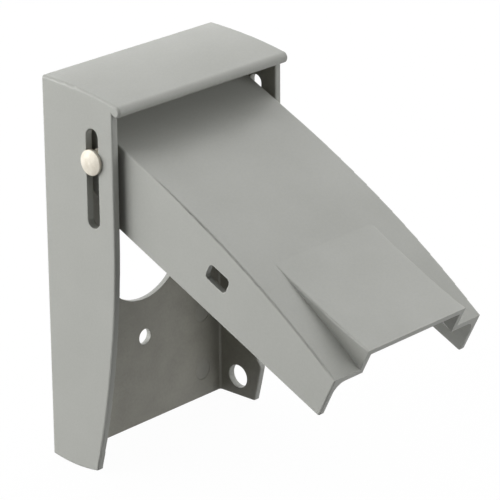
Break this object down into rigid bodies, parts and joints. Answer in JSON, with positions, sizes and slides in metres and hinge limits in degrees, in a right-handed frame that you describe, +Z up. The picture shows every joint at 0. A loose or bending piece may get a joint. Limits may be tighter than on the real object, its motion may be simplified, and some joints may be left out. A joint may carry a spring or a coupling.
{
  "type": "weatherproof flip cover",
  "caption": "Cast hood with a lid that flips up and slides on two rivets, to cover an outdoor outlet from rain.",
  "frame": {"origin": "middle of the outlet opening, at the back face of the back plate", "axes": "+X to the right seen from the front, +Y back towards the building, +Z up"},
  "size_m": [0.0746, 0.1098, 0.1189],
  "materials": {
    "grey_paint": "satin paint on a metal casting",
    "rivet_metal": "bare, slightly mottled"
  },
  "bodies": {
    "hood": {"housing": "grey_paint"},
    "rivets": {"left_rivet": "rivet_metal", "right_rivet": "rivet_metal"},
    "lid": {"lid": "grey_paint"}
  },
  "joints": [
    {"name": "rivet_slide", "type": "slide", "parent": "hood", "child": "rivets", "axis": [0, 0, 1], "range_m": [-0.0176, 0.0074]},
    {"name": "lid_hinge", "type": "hinge", "parent": "rivets", "child": "lid", "pos_m": [0, -0.0173, 0.0385], "axis": [-1, 0, 0], "range_deg": [-64.2, 22]}
  ]
}
